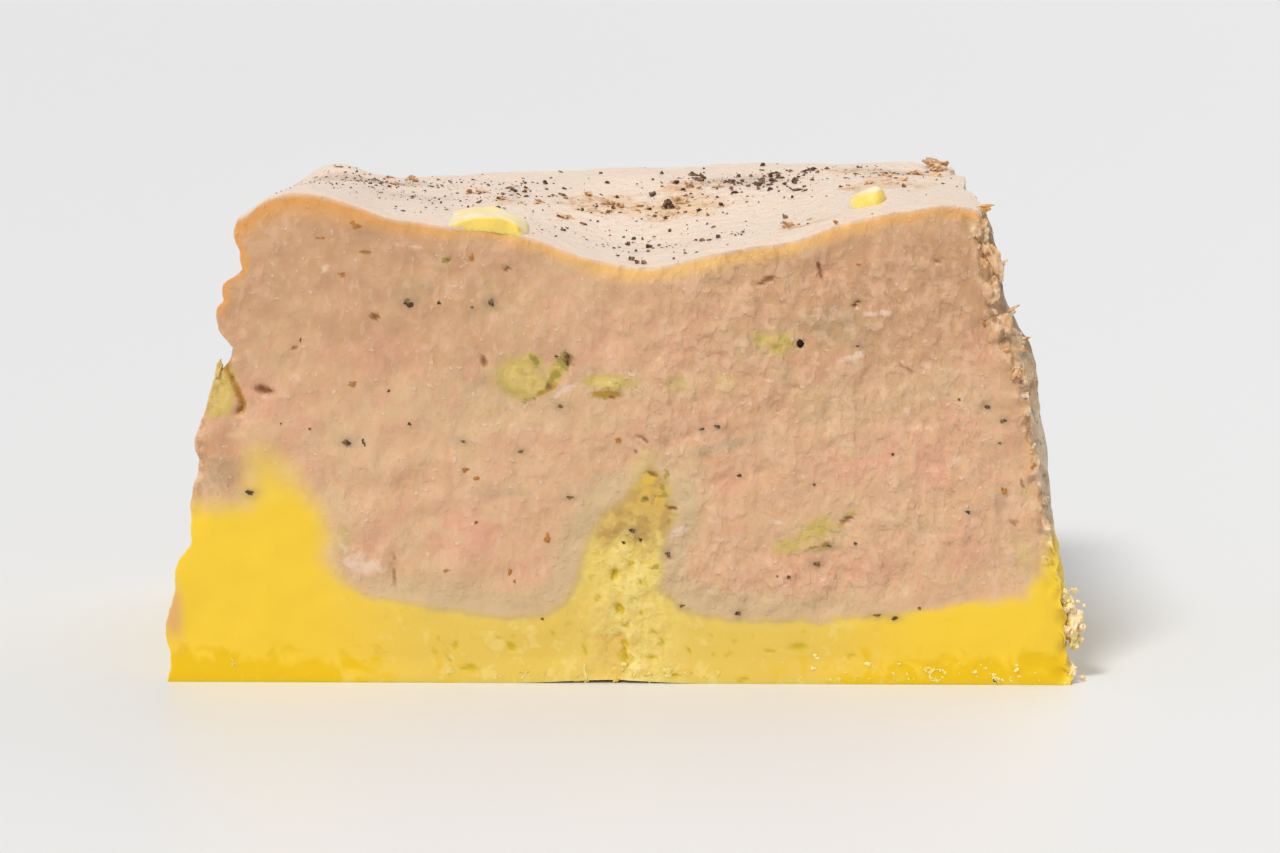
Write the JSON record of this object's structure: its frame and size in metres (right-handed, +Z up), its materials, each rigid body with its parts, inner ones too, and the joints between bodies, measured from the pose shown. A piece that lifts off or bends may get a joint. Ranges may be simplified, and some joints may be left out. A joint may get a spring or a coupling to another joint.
{
  "type": "foie gras terrine block",
  "caption": "Block cut from a pressed liver terrine and turned out upside down: sloping sides, three liver lobes over a layer of yellow fat, dipped peppered top.",
  "frame": {"origin": "middle of the overall box on the base, the face that the block stands on", "axes": "+Z up, +X along the block's width, and -Y out of the cut face that shows the layers"},
  "size_m": [0.0972, 0.049, 0.0522],
  "materials": {
    "liver": "moist, pinkish beige, finely pitted",
    "yellow_fat": "smooth and waxy, slightly translucent",
    "pocket_fat": "greenish yellow, moist",
    "chip_fat": "pale yellow, waxy"
  },
  "bodies": {
    "root": {"liver_lobe_top": "liver", "liver_lobe_left": "liver", "liver_lobe_right": "liver", "fat_layer": "yellow_fat", "fat_pocket_large": "pocket_fat", "fat_pocket_small": "pocket_fat", "fat_pocket_high": "pocket_fat", "fat_pocket_low": "pocket_fat", "fat_chip_left": "chip_fat", "fat_chip_right": "chip_fat"}
  },
  "joints": []
}
